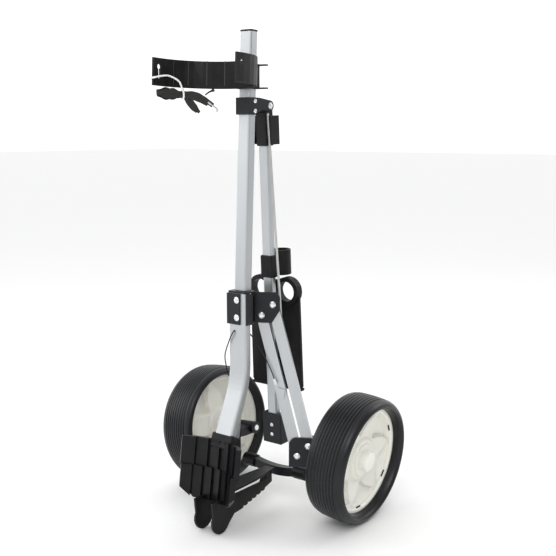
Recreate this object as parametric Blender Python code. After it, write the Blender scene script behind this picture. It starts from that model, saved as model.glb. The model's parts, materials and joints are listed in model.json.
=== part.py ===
"""Two-wheel golf push trolley, folded for storage.

Metres, +Z up, the bag side faces -Y and the right wheel is at +X. The origin is on the floor,
under the middle of the trolley. Parts are laid out from the wheels' axle line, and one empty
moves the whole trolley back so that its box is centred on the origin.
"""

import math

import bmesh
import bpy
from mathutils import Matrix, Vector

# Driving dimensions
CENTRE_SHIFT = 0.06765         # moves the axle line so that the box is centred on Y
GAP = 0.0003                   # between faces that touch
PLAY = 0.0006                  # beside plates that turn past each other
TUBE_LEAN = math.radians(2.5)  # the mast leans back
TUBE_TOP_Z = 0.975
MAST_SIZE = (0.0285, 0.0210)
MAST_FOOT = Vector((0, -0.1270, 0.4720))
LOWER_SIZE = (0.0440, 0.0170)
LOWER_TOP = Vector((0, -0.1370, 0.4680))
BEND_START_Z = 0.325
BEND_ANGLE = math.radians(24)
BEND_RADIUS = 0.160
WALL = 0.0016
WHEEL_RADIUS = 0.130
WHEEL_WIDTH = 0.088
WHEEL_X = 0.1915
WHEEL_Z = 0.13096              # the shoulders of the leaning tyres stand on the floor
CAMBER = math.radians(6.0)     # the wheel tops lean outwards
TOE = math.radians(2.5)
AXLE_RADIUS = 0.0060
LEG_WIDTH = 0.0215
LEG_THICK = 0.0120
PIN_RADIUS = 0.0030
HEAD_RADIUS = 0.0068
PLATE = 0.0025
# The legs swing in upright planes turned 30 degrees from the cross direction. A point of such
# a plane is (reach, height), and its depth is measured along the plane's normal.
SWING_TURN = math.radians(30)
LEG_DEPTH = 0.0922
LOWER_LEG_TOP = (-0.0283, 0.4203)
LOWER_LEG_FOOT = (0.0445, 0.1290)
LEG_PITCH = (0.0229, 0.0219)   # from the lower leg's pivots to the upper leg's
HANDLE_PIVOT = Vector((0, -0.0600, 0.8350))
HANDLE_TILT = math.radians(2.9)
HANDLE_SIZE = (0.0240, 0.0140)
HANDLE_LENGTH = 0.640
CRADLE_RADIUS = 0.105
CRADLE_BAND = 0.0520
CRADLE_CENTRE = Vector((0, -0.2445, 0.8960))
FOOT_X = 0.0225
FOOT_PIN = (-0.2080, 0.0560)
ROD_RADIUS = 0.0024
ROD_TOP = Vector((0.0185, -0.0705, 0.8200))
ROD_DROP = 0.066               # below the upper leg's top pivot, along the leg

for old in list(bpy.data.objects):
    bpy.data.objects.remove(old, do_unlink=True)


def make_material(name, colour, roughness, metallic=0.0):
    material = bpy.data.materials.new(name)
    material.use_nodes = True
    shader = material.node_tree.nodes["Principled BSDF"]
    shader.inputs["Base Color"].default_value = (*colour, 1.0)
    shader.inputs["Roughness"].default_value = roughness
    shader.inputs["Metallic"].default_value = metallic
    material.diffuse_color = (*colour, 1.0)
    return material


SILVER = make_material("silver_anodised_aluminium", (0.72, 0.73, 0.74), 0.35, 1.0)
BLACK_STEEL = make_material("black_painted_steel", (0.030, 0.032, 0.038), 0.40, 0.2)
BLACK_PLASTIC = make_material("black_plastic", (0.018, 0.018, 0.020), 0.45)
RIVET_STEEL = make_material("bright_rivet_steel", (0.80, 0.80, 0.80), 0.25, 1.0)
ROD_STEEL = make_material("rod_steel", (0.62, 0.62, 0.60), 0.30, 1.0)
TYRE_RUBBER = make_material("black_tyre_rubber", (0.022, 0.023, 0.026), 0.55)
HUB_PLASTIC = make_material("cream_hub_plastic", (0.86, 0.85, 0.76), 0.40)
STRAP_FABRIC = make_material("black_strap_webbing", (0.015, 0.015, 0.015), 0.85)
TIE_PLASTIC = make_material("white_tie_cord", (0.85, 0.85, 0.83), 0.50)
CORD_BLACK = make_material("black_thin_cord", (0.02, 0.02, 0.02), 0.60)


# Frames and placing

class Group:
    """An empty on a joint's axis, with the place of that axis in the trolley's layout."""

    def __init__(self, name, place, parent=None):
        self.place = Vector(place)
        self.empty = bpy.data.objects.new(name, None)
        bpy.context.scene.collection.objects.link(self.empty)
        if parent is None:
            self.empty.location = self.place + Vector((0, CENTRE_SHIFT, 0))
        else:
            self.empty.parent = parent.empty
            self.empty.location = self.place - parent.place


FRAME = Group("trolley", (0, 0, 0))


def side_name(side):
    return "right" if side > 0 else "left"


def swing_point(side, reach, depth, height):
    """A point given in the leg's swing plane, in the trolley's layout."""
    cos, sin = math.cos(SWING_TURN), math.sin(SWING_TURN)
    return Vector((side * (cos * reach + sin * depth), sin * reach - cos * depth, height))


def swing_normal(side):
    return Vector((side * math.sin(SWING_TURN), -math.cos(SWING_TURN), 0))


def axle_direction(side):
    """Points outwards along the axle."""
    flat = math.cos(CAMBER)
    return Vector((side * math.cos(TOE) * flat, math.sin(TOE), -math.sin(CAMBER)))


def add_object(name, mesh_maker, material, group=FRAME, origin=None, smooth=False):
    """Makes an object from a bmesh drawn in the trolley's layout."""
    origin = Vector(group.place if origin is None else origin)
    bmesh.ops.remove_doubles(mesh_maker, verts=mesh_maker.verts, dist=1e-6)
    bmesh.ops.translate(mesh_maker, verts=mesh_maker.verts, vec=-origin)
    bmesh.ops.recalc_face_normals(mesh_maker, faces=mesh_maker.faces)
    mesh = bpy.data.meshes.new(name)
    mesh_maker.to_mesh(mesh)
    mesh_maker.free()
    if smooth:
        mesh.shade_smooth()
        mesh.set_sharp_from_angle(angle=math.radians(35))
    obj = bpy.data.objects.new(name, mesh)
    obj.data.materials.append(material)
    obj.parent = group.empty
    obj.location = origin - group.place
    bpy.context.scene.collection.objects.link(obj)
    return obj


def combine(obj, other, operation):
    """Adds a Boolean and hides the object that it uses."""
    modifier = obj.modifiers.new(operation.lower() + "_" + other.name, "BOOLEAN")
    modifier.operation = operation
    modifier.solver = "EXACT"
    modifier.object = other
    other.hide_render = True
    other.display_type = "WIRE"


def cut(obj, maker, group=FRAME):
    helper = add_object("cut_" + obj.name, maker, BLACK_STEEL, group)
    combine(obj, helper, "DIFFERENCE")


def join(obj, maker, group=FRAME):
    helper = add_object("add_" + obj.name, maker, BLACK_STEEL, group)
    combine(obj, helper, "UNION")


# Shapes, all drawn in the trolley's layout

def prism(outline_a, outline_b):
    """A solid between two outlines of the same number of points."""
    maker = bmesh.new()
    lower = [maker.verts.new(point) for point in outline_a]
    upper = [maker.verts.new(point) for point in outline_b]
    maker.faces.new(lower)
    maker.faces.new(upper)
    for index in range(len(lower)):
        after = (index + 1) % len(lower)
        maker.faces.new((lower[index], lower[after], upper[after], upper[index]))
    return maker


def box(size, centre, turn=None, bevel=0.0):
    maker = bmesh.new()
    bmesh.ops.create_cube(maker, size=1.0)
    bmesh.ops.scale(maker, vec=size, verts=maker.verts)
    if bevel:
        bmesh.ops.bevel(maker, geom=maker.edges[:], offset=bevel, segments=1, affect="EDGES")
    matrix = Matrix.Translation(centre)
    if turn is not None:
        matrix = matrix @ turn.to_4x4()
    bmesh.ops.transform(maker, matrix=matrix, verts=maker.verts)
    return maker


def turned(profile, centre, axis, sides=24, closed=False):
    """Turns (radius, height) points about an axis. A closed profile makes a ring."""
    maker = bmesh.new()
    matrix = Matrix.Translation(centre) @ Vector((0, 0, 1)).rotation_difference(axis).to_matrix().to_4x4()
    rings = []
    for radius, height in profile:
        if radius < 1e-7:
            rings.append([maker.verts.new(matrix @ Vector((0, 0, height)))])
            continue
        ring = []
        for step in range(sides):
            angle = 2 * math.pi * step / sides
            spot = Vector((radius * math.cos(angle), radius * math.sin(angle), height))
            ring.append(maker.verts.new(matrix @ spot))
        rings.append(ring)
    pairs = list(zip(rings, rings[1:]))
    if closed:
        pairs.append((rings[-1], rings[0]))
    for first, second in pairs:
        for step in range(sides):
            after = (step + 1) % sides
            corners = [
                first[step % len(first)], first[after % len(first)],
                second[after % len(second)], second[step % len(second)],
            ]
            unique = list(dict.fromkeys(corners))
            if len(unique) > 2:
                maker.faces.new(unique)
    return maker


def rod(start, end, radius, sides=12):
    start, end = Vector(start), Vector(end)
    length = (end - start).length
    profile = [(0, 0), (radius, 0), (radius, length), (0, length)]
    return turned(profile, start, end - start, sides)


def arc(centre, radius, start, end, count):
    """Points of an arc in a plane. Angles are in degrees."""
    points = []
    for step in range(count + 1):
        angle = math.radians(start + (end - start) * step / count)
        points.append((centre[0] + radius * math.cos(angle), centre[1] + radius * math.sin(angle)))
    return points


def rounded_rectangle(width, depth, radius, count=2):
    points = []
    for turn, (sx, sy) in enumerate(((1, 1), (-1, 1), (-1, -1), (1, -1))):
        corner = (sx * (width / 2 - radius), sy * (depth / 2 - radius))
        points += arc(corner, radius, 90 * turn, 90 * turn + 90, count)
    return points


def bar_outline(start, end, radius, count=6):
    """A flat bar with round ends, as points of its plane."""
    angle = math.degrees(math.atan2(end[1] - start[1], end[0] - start[0]))
    return (arc(end, radius, angle - 90, angle + 90, count)
            + arc(start, radius, angle + 90, angle + 270, count))


def swing_plate(side, outline, near, far):
    """A plate in the swing plane, between two depths."""
    return prism([swing_point(side, x, near, z) for x, z in outline],
                 [swing_point(side, x, far, z) for x, z in outline])


def upright_plate(outline, near_x, far_x):
    """A plate whose outline is (y, z) points, between two places on X."""
    return prism([Vector((near_x, y, z)) for y, z in outline],
                 [Vector((far_x, y, z)) for y, z in outline])


def flat_plate(outline, low_z, high_z, tilt=0.0, pivot=None):
    """A plate whose outline is (x, y) points. A tilt turns it about X at the pivot."""
    maker = prism([Vector((x, y, low_z)) for x, y in outline],
                  [Vector((x, y, high_z)) for x, y in outline])
    if tilt:
        bmesh.ops.rotate(maker, verts=maker.verts, cent=pivot, matrix=Matrix.Rotation(tilt, 3, "X"))
    return maker


def sweep_section(section, spine, wall=0.0):
    """Sweeps an (x, depth) section along a spine in the middle plane, as a bar or a tube."""
    maker = bmesh.new()

    def rings_of(points):
        rings = []
        for index, spot in enumerate(spine):
            before = spine[max(index - 1, 0)]
            after = spine[min(index + 1, len(spine) - 1)]
            along = (after - before).normalized()
            across = along.cross(Vector((1, 0, 0)))
            rings.append([maker.verts.new(spot + Vector((x, 0, 0)) + across * depth)
                          for x, depth in points])
        return rings

    def skin(rings):
        for first, second in zip(rings, rings[1:]):
            for index in range(len(first)):
                after = (index + 1) % len(first)
                maker.faces.new((first[index], first[after], second[after], second[index]))

    outer = rings_of(section)
    skin(outer)
    if not wall:
        maker.faces.new(outer[0])
        maker.faces.new(outer[-1])
        return maker
    half_x = max(x for x, _ in section)
    half_depth = max(depth for _, depth in section)
    scale_x, scale_depth = 1 - wall / half_x, 1 - wall / half_depth
    inner = rings_of([(x * scale_x, depth * scale_depth) for x, depth in section])
    skin(inner)
    for out, inside in ((outer[0], inner[0]), (outer[-1], inner[-1])):
        for index in range(len(out)):
            after = (index + 1) % len(out)
            maker.faces.new((out[index], out[after], inside[after], inside[index]))
    return maker


def domed_pin(name, start, end, group=FRAME, head_radius=HEAD_RADIUS, radius=PIN_RADIUS):
    """A rivet or pin with a domed head at its start."""
    start, end = Vector(start), Vector(end)
    length = (end - start).length
    height = 0.36 * head_radius
    profile = [(0, -height), (0.62 * head_radius, -0.8 * height), (head_radius, 0)]
    profile += [(radius, 0), (radius, length), (0, length)]
    return add_object(name, turned(profile, start, end - start, 12), RIVET_STEEL, group,
                      origin=start, smooth=True)


# The mast: an upper tube, a coupler and a wider lower tube that bends towards the bag

def mast_at(z):
    """The upper tube's axis at a height."""
    return MAST_FOOT + Vector((0, math.tan(TUBE_LEAN), 1)) * (z - MAST_FOOT.z)


def lower_spine():
    points = [LOWER_TOP, Vector((0, LOWER_TOP.y, BEND_START_Z))]
    centre = Vector((0, LOWER_TOP.y - BEND_RADIUS, BEND_START_Z))
    steps = 6
    for step in range(1, steps + 1):
        angle = BEND_ANGLE * step / steps
        points.append(centre + Vector((0, math.cos(angle), -math.sin(angle))) * BEND_RADIUS)
    points.append(points[-1] + Vector((0, -math.sin(BEND_ANGLE), -math.cos(BEND_ANGLE))) * 0.097)
    return points


LOWER_SPINE = lower_spine()
LOWER_END = LOWER_SPINE[-1]
LOWER_DIRECTION = (LOWER_SPINE[-1] - LOWER_SPINE[-2]).normalized()


def build_mast():
    section = rounded_rectangle(*MAST_SIZE, 0.0035)
    upper = add_object("upper_mast_tube", sweep_section(section, [mast_at(TUBE_TOP_Z), mast_at(0.4722)], WALL),
                       SILVER, smooth=True)
    lower = add_object("lower_mast_tube",
                       sweep_section(rounded_rectangle(*LOWER_SIZE, 0.0045), LOWER_SPINE, WALL),
                       SILVER, smooth=True)
    # a hole from front to back for the thin cord
    cut(lower, rod((-0.0075, LOWER_TOP.y - 0.02, 0.3910), (-0.0075, LOWER_TOP.y + 0.02, 0.3910), 0.0024, 12))

    inner = (MAST_SIZE[0] / 2 - WALL - GAP, MAST_SIZE[1] / 2 - WALL - GAP)
    plug = add_object("mast_end_plug", sweep_section(
        rounded_rectangle(MAST_SIZE[0] + 0.001, MAST_SIZE[1] + 0.001, 0.0035),
        [mast_at(TUBE_TOP_Z + 0.0035), mast_at(TUBE_TOP_Z + GAP)]), BLACK_PLASTIC)
    join(plug, sweep_section(rounded_rectangle(2 * inner[0], 2 * inner[1], 0.0025),
                             [mast_at(TUBE_TOP_Z + 0.002), mast_at(TUBE_TOP_Z - 0.020)]))

    coupler = add_object("mast_coupler", flat_plate(
        [(x, y - 0.1312) for x, y in rounded_rectangle(0.0470, 0.0320, 0.004)],
        LOWER_TOP.z + GAP, MAST_FOOT.z - GAP), BLACK_PLASTIC)
    join(coupler, sweep_section(rounded_rectangle(2 * inner[0], 2 * inner[1], 0.0025),
                                [mast_at(0.500), mast_at(0.4700)]))
    inner_x = LOWER_SIZE[0] - 2 * (WALL + 2 * GAP)
    inner_y = LOWER_SIZE[1] - 2 * (WALL + 2 * GAP)
    join(coupler, sweep_section(rounded_rectangle(inner_x, inner_y, 0.0035),
                                [LOWER_TOP + Vector((0, 0, 0.002)), LOWER_TOP - Vector((0, 0, 0.03))]))


# The upper bag cradle and its clamp

def build_upper_cradle():
    lean = -TUBE_LEAN
    centre = CRADLE_CENTRE
    half = CRADLE_BAND / 2
    outer = [(-CRADLE_RADIUS, -0.020)] + arc((0, 0), CRADLE_RADIUS, 180, 0, 18) + [(CRADLE_RADIUS, -0.020)]
    inside = CRADLE_RADIUS - 0.0038
    inner = [(inside, -0.020)] + arc((0, 0), inside, 0, 180, 18) + [(-inside, -0.020)]
    outline = [(x, y + centre.y) for x, y in outer + inner]
    band = add_object("upper_cradle", flat_plate(outline, centre.z - half, centre.z + half, lean, centre),
                      BLACK_PLASTIC, smooth=True)
    for side in (1, -1):
        eye = Vector((side * 0.105, centre.y - 0.004, centre.z + 0.010))
        cut(band, rod(eye - Vector((0.02, 0, 0)), eye + Vector((0.02, 0, 0)), 0.0052, 10))
        cut(band, box((0.04, 0.0050, 0.022), eye - Vector((0, 0, 0.011))))
    # a short neck joins the band to its clamp
    neck_back = mast_at(0.8900).y - 0.0145 - GAP
    band_back = centre.y + CRADLE_RADIUS - 0.003
    neck = box((0.030, neck_back - band_back, 0.040), Vector((0, (neck_back + band_back) / 2, 0.8920)))
    join(band, neck)

    middle = mast_at(0.8900)
    clamp = add_object("cradle_clamp", box((0.0375, 0.0290, 0.0480), middle, bevel=0.0015), BLACK_PLASTIC)
    spine = [mast_at(0.93), mast_at(0.85)]
    cut(clamp, sweep_section(rounded_rectangle(MAST_SIZE[0] + 2 * GAP, MAST_SIZE[1] + 2 * GAP, 0.0035), spine))
    for z in (0.9120, 0.8680):
        lip = flat_plate([(0.012, -0.0955), (0.0280, -0.0900), (0.0300, -0.0830), (-0.0300, -0.0830),
                          (-0.0280, -0.0900), (-0.012, -0.0955)], z - 0.0015, z + 0.0015)
        join(clamp, lip)


# The bracket that holds the handle

def build_hinge_bracket():
    half = MAST_SIZE[0] / 2 + GAP
    front = mast_at(0.83).y - MAST_SIZE[1] / 2 - 0.0016
    pivot = HANDLE_PIVOT
    outline = [(front - PLATE, 0.8170), (front + 0.018, 0.8170), (front + 0.0380, 0.8260)]
    outline += arc((pivot.y, pivot.z), 0.0105, -110, 75, 10)
    outline += [(front + 0.030, 0.8500), (front - PLATE, 0.8500)]
    cheek = add_object("handle_hinge_bracket", upright_plate(outline, half, half + PLATE), BLACK_STEEL)
    join(cheek, upright_plate(outline, -half - PLATE, -half))
    join(cheek, box((2 * half + 2 * PLATE, PLATE, 0.0330), Vector((0, front - PLATE / 2, 0.8335))))
    hole = PIN_RADIUS + GAP
    cut(cheek, rod((-0.03, pivot.y, pivot.z), (0.03, pivot.y, pivot.z), hole, 16))
    outside = half + PLATE + GAP
    domed_pin("handle_pivot_pin", (outside, pivot.y, pivot.z), (-outside - 0.003, pivot.y, pivot.z))


# The mid brackets that hold the legs

EAR_DEPTH = LEG_DEPTH + LEG_THICK / 2 + PLAY
BRACKET_LOW = 0.4050
BRACKET_HIGH = 0.4674


def leg_pivot(name):
    """(reach, height) of a leg pivot."""
    reach, height = LOWER_LEG_TOP if name.endswith("top") else LOWER_LEG_FOOT
    if name.startswith("upper"):
        return (reach + LEG_PITCH[0], height + LEG_PITCH[1])
    return (reach, height)


def build_mid_bracket(side):
    side_x = LOWER_SIZE[0] / 2 + GAP
    front_y = LOWER_TOP.y - LOWER_SIZE[1] / 2 - GAP
    start = swing_point(1, -0.0480, EAR_DEPTH, 0)
    end = swing_point(1, 0.0095, EAR_DEPTH, 0)
    normal = swing_normal(1) * PLATE
    inner = [(side_x, -0.1270), (start.x, start.y), (end.x, end.y)]
    outer = [(end.x + normal.x, end.y + normal.y), (start.x + normal.x + 0.006, start.y + normal.y + 0.0035),
             (side_x + PLATE, -0.1270)]
    if side > 0:
        profile = [(side_x, front_y)] + inner + outer + [(side_x + PLATE, front_y)]
    else:
        profile = [(-0.0085, front_y), (side_x, front_y)] + inner + outer
        profile += [(side_x + PLATE, front_y - PLATE), (-0.0085, front_y - PLATE)]
    profile = [(side * x, y) for x, y in profile]
    name = f"mid_bracket_{side_name(side)}"
    bracket = add_object(name, flat_plate(profile, BRACKET_LOW, BRACKET_HIGH), BLACK_STEEL)
    # a window behind the tube, and the ear's cut-off corners
    cut(bracket, box((0.030, 0.0110, 0.0520), Vector((side * 0.0215, -0.1190, 0.4362))))
    low_corner = [(-0.0115, 0.398), (0.030, 0.398), (0.030, 0.4293), (0.0085, 0.4293)]
    top_corner = [(0.0120, 0.4540), (0.030, 0.4540), (0.030, 0.4750), (-0.0020, 0.4750)]
    for corner in (low_corner, top_corner):
        cut(bracket, swing_plate(side, corner, EAR_DEPTH - 0.01, EAR_DEPTH + 0.01))
    for leg in ("lower", "upper"):
        reach, height = leg_pivot(leg + "_top")
        head = swing_point(side, reach, EAR_DEPTH + PLATE + GAP, height)
        tail = swing_point(side, reach, LEG_DEPTH - LEG_THICK / 2 - 0.0010, height)
        domed_pin(f"{leg}_leg_top_pin_{side_name(side)}", head, tail)
        cut(bracket, rod(head + swing_normal(side) * 0.01, tail, PIN_RADIUS + GAP, 16))
    if side < 0:
        for index, z in enumerate((0.4545, 0.4190)):
            head = Vector((0.0005, front_y - PLATE - GAP, z))
            tail = head + Vector((0, PLATE, 0))
            domed_pin(f"mid_bracket_rivet_{index + 1}", head, tail, radius=0.0020)
            cut(bracket, rod(head - Vector((0, 0.01, 0)), tail + Vector((0, 0.0002, 0)), 0.0020 + GAP, 12))


# The legs, the wheel brackets and the wheels

def build_leg(side, leg):
    top, foot = leg_pivot(leg + "_top"), leg_pivot(leg + "_foot")
    pivot = swing_point(side, top[0], LEG_DEPTH, top[1])
    group = Group(f"{leg}_leg_axis_{side_name(side)}", pivot, FRAME)
    near, far = LEG_DEPTH - LEG_THICK / 2, LEG_DEPTH + LEG_THICK / 2
    outline = bar_outline(top, foot, LEG_WIDTH / 2, 8)
    name = f"{leg}_leg_{side_name(side)}"
    bar = add_object(name, swing_plate(side, outline, near, far), SILVER, group, origin=pivot)
    for spot in (top, foot):
        hole = PIN_RADIUS + 0.0005
        cut(bar, rod(swing_point(side, spot[0], near - 0.005, spot[1]),
                     swing_point(side, spot[0], far + 0.005, spot[1]), hole, 16), group)
    if leg == "lower":
        # the lug that the thin cord is tied to
        reach, height = 0.0116, 0.2600
        lug = [(reach - 0.0085, height - 0.0080), (reach + 0.0055, height - 0.0115),
               (reach + 0.0085, height + 0.0080), (reach - 0.0055, height + 0.0115)]
        join(bar, swing_plate(side, lug, far - 0.0010, far + 0.0055), group)
    return group


def rod_foot(side):
    """Where a drive rod's lower eye sits, behind the upper leg."""
    top, foot = leg_pivot("upper_top"), leg_pivot("upper_foot")
    length = math.hypot(foot[0] - top[0], foot[1] - top[1])
    reach = top[0] + (foot[0] - top[0]) * ROD_DROP / length
    height = top[1] + (foot[1] - top[1]) * ROD_DROP / length
    return reach, height


def build_leg_stud(side, group):
    """The stud on the upper leg that the drive rod pulls."""
    reach, height = rod_foot(side)
    back = LEG_DEPTH - LEG_THICK / 2
    start = swing_point(side, reach, back - GAP, height)
    end = swing_point(side, reach, back - 0.0046, height)
    add_object(f"drive_stud_{side_name(side)}", rod(start, end, 0.0042, 12), RIVET_STEEL, group, smooth=True)


def build_wheel_bracket(side, leg_group):
    foot, upper_foot = leg_pivot("lower_foot"), leg_pivot("upper_foot")
    pivot = swing_point(side, foot[0], LEG_DEPTH, foot[1])
    group = Group(f"wheel_bracket_axis_{side_name(side)}", pivot, leg_group)
    low, high = 0.1060, 0.1680
    left, right = 0.0280, 0.0860
    outline = [(left, low), (right, low), (right, high)] + arc((left + 0.016, high - 0.016), 0.016, 90, 180, 5)
    near = LEG_DEPTH + LEG_THICK / 2 + PLAY
    back = LEG_DEPTH - LEG_THICK / 2 - PLAY
    name = f"wheel_bracket_{side_name(side)}"
    bracket = add_object(name, swing_plate(side, outline, near, near + PLATE), BLACK_STEEL, group, origin=pivot)
    rear = [(left + 0.004, low), (right, low), (right, high - 0.004), (left + 0.02, high - 0.004),
            (left + 0.004, high - 0.02)]
    join(bracket, swing_plate(side, rear, back - PLATE, back), group)
    # the floor of the bracket closes it under the legs
    floor = [(left + 0.004, low), (right, low), (right, low + 0.003), (left + 0.004, low + 0.003)]
    join(bracket, swing_plate(side, floor, back - PLATE / 2, near + PLATE / 2), group)
    # the boss that holds the axle, and the web between it and the rear plate
    centre = Vector((side * WHEEL_X, 0, WHEEL_Z))
    out = axle_direction(side)
    boss_in, boss_out = centre - out * 0.1240, centre - out * 0.0540
    join(bracket, rod(boss_in, boss_out, 0.0130, 20), group)
    web = [swing_point(side, reach, back - PLATE / 2, 0).xy for reach in (0.0413, 0.0806)]
    web += [(side * 0.1120, 0.001), (side * 0.0760, 0.001)]
    join(bracket, flat_plate(web, 0.1300, 0.1480), group)
    cut(bracket, rod(boss_in - out * 0.01, boss_out + out * 0.01, AXLE_RADIUS + GAP, 20), group)
    for leg, spot in (("lower", foot), ("upper", upper_foot)):
        head = swing_point(side, spot[0], near + PLATE + GAP, spot[1])
        tail = swing_point(side, spot[0], back - PLATE - 0.0015, spot[1])
        domed_pin(f"{leg}_leg_foot_pin_{side_name(side)}", head, tail, group)
        cut(bracket, rod(head + swing_normal(side) * 0.01, tail - swing_normal(side) * 0.01,
                         PIN_RADIUS + GAP, 16), group)
    add_object(f"axle_{side_name(side)}", rod(centre - out * 0.1260, centre + out * 0.0300, AXLE_RADIUS, 20),
               RIVET_STEEL, group, smooth=True)
    return group


def build_wheel(side, bracket_group):
    centre = Vector((side * WHEEL_X, 0, WHEEL_Z))
    out = axle_direction(side)
    name = side_name(side)
    group = Group(f"wheel_axis_{name}", centre, bracket_group)
    half = WHEEL_WIDTH / 2
    flank = [(0.1085, 0.0245), (0.1100, half - 0.0100), (0.1130, half - 0.0025), (0.1165, half),
             (0.1215, half - 0.0020), (0.1260, half - 0.0070), (0.1285, half - 0.0145), (0.1298, half - 0.0250)]
    tyre = flank + [(WHEEL_RADIUS, 0.0)] + [(r, -z) for r, z in reversed(flank)]
    add_object(f"tyre_{name}", turned(tyre, centre, out, 56, closed=True), TYRE_RUBBER, group, centre, True)
    rim = 0.1085 - GAP
    bore = AXLE_RADIUS + GAP
    outer_face = [(rim, 0.0230), (0.1030, 0.0230), (0.1000, 0.0180), (0.0520, 0.0095), (0.0400, 0.0150),
                  (0.0240, 0.0190), (bore, 0.0190)]
    inner_face = [(bore, -0.0440), (0.0180, -0.0440), (0.0210, -0.0160), (0.0980, -0.0120),
                  (0.1010, -0.0245), (rim, -0.0245)]
    add_object(f"wheel_hub_{name}", turned(outer_face + inner_face, centre, out, 48, closed=True), HUB_PLASTIC,
               group, centre, True)
    hub = bpy.data.objects[f"wheel_hub_{name}"]
    hollow = [(0.0300, 0.0090), (0.0480, 0.0050), (0.0970, 0.0130), (0.0970, -0.0080), (0.0300, -0.0120)]
    cut(hub, turned(hollow, centre, out, 48, closed=True), group)
    across = out.orthogonal().normalized()
    for step in range(5):
        spoke = Matrix.Rotation(2 * math.pi * step / 5, 3, out) @ across
        turn = Matrix((spoke, out.cross(spoke), out)).transposed()
        cut(hub, box((0.0300, 0.0030, 0.0200), centre + spoke * 0.0620 - out * 0.0120, turn), group)
    cap = [(0, 0.0380), (0.0120, 0.0375), (0.0185, 0.0350), (0.0215, 0.0290), (0.0225, 0.0190 + GAP),
           (0.0110, 0.0190 + GAP), (0.0110, 0.0315), (0, 0.0315)]
    add_object(f"hub_cap_{name}", turned(cap, centre, out, 24), HUB_PLASTIC, group, centre, True)


# The lower bag cradle, the foot and the rest bar

def saw_arc(radius, step, half_angle, facets):
    """The front of the cradle: facets that each step forwards, like shingles."""
    points = []
    for index in range(facets):
        start = -90 + half_angle - 2 * half_angle * index / facets
        end = -90 + half_angle - 2 * half_angle * (index + 1) / facets
        for angle, depth in ((start, 0.0), (end, step)):
            turn = math.radians(angle + 180)
            points.append(((radius - depth) * math.cos(turn), (radius - depth) * math.sin(turn)))
    return points


def build_lower_cradle():
    middle = Vector((0, -0.3000, 0.1300))
    lean = math.radians(-8)
    half_angle = 50
    tiers = ((0.0960, 6, 0.1360, 0.1920), (0.0920, 7, 0.0720, 0.1360))
    cradle = None
    for radius, facets, low, high in tiers:
        front = saw_arc(radius, 0.0045, half_angle, facets)
        back = arc((0, 0), radius + 0.0065, 90 - half_angle, 90 + half_angle, 14)
        outline = [(x, y + middle.y) for x, y in back + front[::1]]
        if low < 0.1:
            outline = [(x * 0.97, y) for x, y in outline]
        maker = flat_plate(outline, low - 0.001, high, lean, middle)
        if cradle is None:
            cradle = add_object("lower_cradle", maker, BLACK_PLASTIC)
        else:
            join(cradle, maker)
    # the lower tier's ends are cut back so that the cradle narrows to the foot
    for side in (1, -1):
        wedge = [(side * 0.034, 0.050), (side * 0.100, 0.050), (side * 0.100, 0.112)]
        cut(cradle, prism([Vector((x, -0.300, z)) for x, z in wedge], [Vector((x, -0.180, z)) for x, z in wedge]))
        cut(cradle, box((0.0040 + 2 * GAP, 0.0900, 0.0300), Vector((side * FOOT_X, -0.2200, 0.0693 - 0.0147))))
    # the socket that takes the lower tube
    across = LOWER_DIRECTION.cross(Vector((1, 0, 0)))
    turn = Matrix((Vector((1, 0, 0)), -across, -LOWER_DIRECTION)).transposed()
    spot = LOWER_END - LOWER_DIRECTION * 0.003 - across * 0.0035
    join(cradle, box((0.0560, 0.0275, 0.0300), spot, turn, 0.003))
    bore = rounded_rectangle(LOWER_SIZE[0] + 2 * GAP, LOWER_SIZE[1] + 2 * GAP, 0.0045)
    cut(cradle, sweep_section(bore, [LOWER_END + LOWER_DIRECTION * GAP, LOWER_END - LOWER_DIRECTION * 0.10]))


def build_foot(side):
    """A foot plate: a round lobe on the floor, and an arm that runs back to the rest bar."""
    lobe = arc((-0.2260, 0.0259), 0.0260, 150, 330, 10)
    arm = [(-0.1760, 0.0380), (-0.0760, 0.0600), (-0.0760, 0.0700), (-0.1700, 0.0690), (-0.2520, 0.0690)]
    inner_x = side * FOOT_X - 0.0020
    outer_x = side * FOOT_X + 0.0020
    plate = add_object(f"foot_plate_{side_name(side)}", upright_plate(lobe + arm, inner_x, outer_x), BLACK_PLASTIC)
    cut(plate, rod((side * FOOT_X - 0.01, *FOOT_PIN), (side * FOOT_X + 0.01, *FOOT_PIN), PIN_RADIUS + GAP, 16))


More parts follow.
